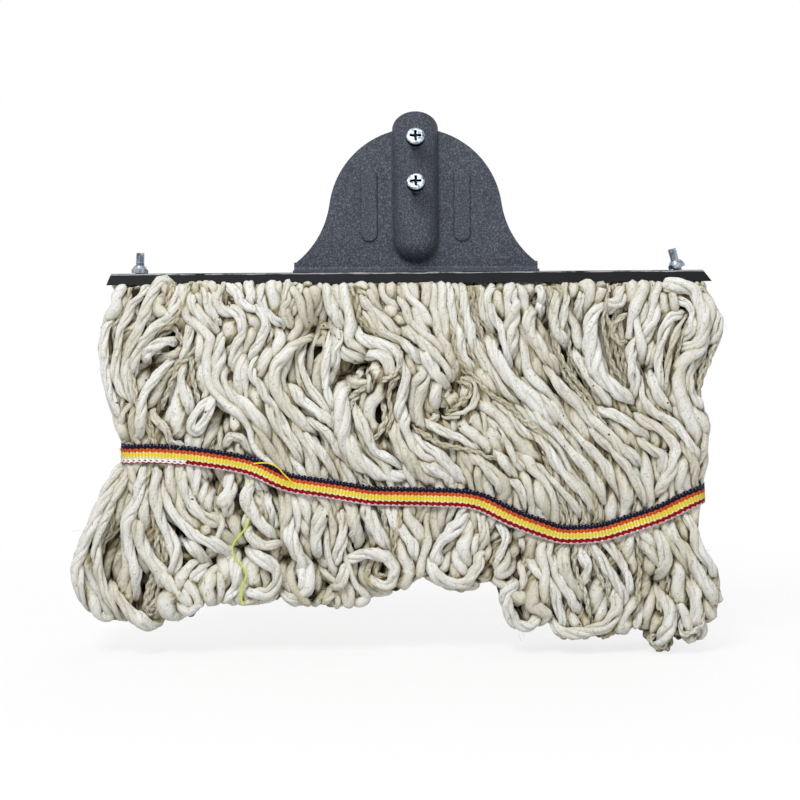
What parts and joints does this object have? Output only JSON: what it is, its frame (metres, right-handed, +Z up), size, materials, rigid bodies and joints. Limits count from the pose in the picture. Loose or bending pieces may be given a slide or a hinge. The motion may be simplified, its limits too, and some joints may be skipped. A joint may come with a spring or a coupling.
{
  "type": "clamp mop head",
  "caption": "Cotton mop head: looped yarn skirt with a woven stay tape, held in a bolted steel clamp bar under a bell-shaped pressed socket for a round handle.",
  "frame": {"origin": "on the handle socket's axis, at the level where its arched mouth begins", "axes": "+Z up along the handle, out of the socket's mouth; +X along the clamp bar; the front faces -Y"},
  "size_m": [0.3449, 0.0497, 0.2909],
  "materials": {
    "powder_coat": "slate grey textured powder coat",
    "black_paint": "charcoal paint, worn bright along the edge",
    "zinc_plate": "bright zinc plating",
    "cotton_yarn": "undyed cotton yarn with seed specks",
    "woven_tape": "woven tape striped navy, orange, yellow, red and white",
    "sewing_thread": "bright yellow-green sewing thread"
  },
  "bodies": {
    "frame": {"front_socket_shell": "powder_coat", "rear_socket_shell": "powder_coat", "clamp_channel": "black_paint"},
    "jaw": {"jaw_bar": "black_paint", "left_clamp_bolt": "zinc_plate", "right_clamp_bolt": "zinc_plate", "clamped_yarn": "cotton_yarn"},
    "left_nut": {"left_clamp_nut": "zinc_plate"},
    "right_nut": {"right_clamp_nut": "zinc_plate"},
    "upper_screw": {"upper_handle_screw": "zinc_plate"},
    "lower_screw": {"lower_handle_screw": "zinc_plate"},
    "front_skirt": {"front_yarn_lock_1": "cotton_yarn", "front_yarn_lock_2": "cotton_yarn", "front_yarn_lock_3": "cotton_yarn", "front_yarn_lock_4": "cotton_yarn", "front_yarn_lock_5": "cotton_yarn", "front_yarn_lock_6": "cotton_yarn", "front_yarn_lock_7": "cotton_yarn", "front_yarn_lock_8": "cotton_yarn", "front_yarn_lock_9": "cotton_yarn", "front_stay_tape": "woven_tape", "loose_thread": "sewing_thread"},
    "rear_skirt": {"rear_yarn_lock_1": "cotton_yarn", "rear_yarn_lock_2": "cotton_yarn", "rear_yarn_lock_3": "cotton_yarn", "rear_yarn_lock_4": "cotton_yarn", "rear_yarn_lock_5": "cotton_yarn", "rear_yarn_lock_6": "cotton_yarn", "rear_yarn_lock_7": "cotton_yarn", "rear_yarn_lock_8": "cotton_yarn", "rear_yarn_lock_9": "cotton_yarn", "rear_stay_tape": "woven_tape"}
  },
  "joints": [
    {"name": "clamp_open", "type": "slide", "parent": "frame", "child": "jaw", "axis": [0, 0, -1], "range_m": [0, 0.006]},
    {"name": "left_nut_travel", "type": "slide", "parent": "jaw", "child": "left_nut", "axis": [0.0523, 0, 0.9986], "range_m": [0, 0.0065]},
    {"name": "right_nut_travel", "type": "slide", "parent": "jaw", "child": "right_nut", "axis": [-0.2756, 0, 0.9613], "range_m": [0, 0.0065]},
    {"name": "upper_screw_travel", "type": "slide", "parent": "frame", "child": "upper_screw", "axis": [0, 0.9135, -0.4067], "range_m": [0, 0.005]},
    {"name": "lower_screw_travel", "type": "slide", "parent": "frame", "child": "lower_screw", "axis": [0, 0.9135, -0.4067], "range_m": [0, 0.005]},
    {"name": "front_swing", "type": "hinge", "parent": "jaw", "child": "front_skirt", "pos_m": [0, -0.0135, -0.0906], "axis": [-1, 0, 0], "range_deg": [0, 70]},
    {"name": "rear_swing", "type": "hinge", "parent": "jaw", "child": "rear_skirt", "pos_m": [0, 0.0135, -0.0906], "axis": [1, 0, 0], "range_deg": [0, 70]}
  ],
  "couplings": [
    {"joint": "left_nut_travel", "follows": "clamp_open", "ratio": 1.0014},
    {"joint": "right_nut_travel", "follows": "clamp_open", "ratio": 1.0403}
  ]
}
